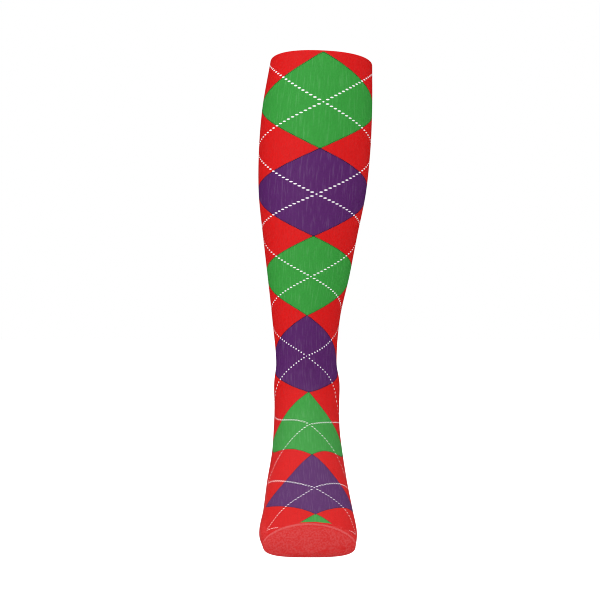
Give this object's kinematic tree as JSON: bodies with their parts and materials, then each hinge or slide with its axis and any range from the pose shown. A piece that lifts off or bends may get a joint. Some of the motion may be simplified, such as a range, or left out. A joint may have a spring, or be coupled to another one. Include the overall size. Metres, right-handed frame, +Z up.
{
  "type": "argyle sock",
  "caption": "Knee-high knitted sock in the form of a leg: turned cuff, leg tube, heel pocket, instep, sole, toe pocket and toe seam.",
  "frame": {"origin": "centre of the leg opening at the rim of the cuff", "axes": "+Z up along the leg, -Y towards the toe, +X to the wearer's left"},
  "size_m": [0.1137, 0.2156, 0.479],
  "materials": {
    "patterned_knit": "matt fine knit, red with green and purple diamonds and white dashes",
    "reinforced_knit": "matt dense knit, plain pinkish red"
  },
  "bodies": {
    "root": {"cuff": "patterned_knit", "leg": "patterned_knit", "heel": "reinforced_knit", "instep": "patterned_knit", "sole": "reinforced_knit", "toe_seam": "reinforced_knit", "toe": "reinforced_knit"}
  },
  "joints": []
}
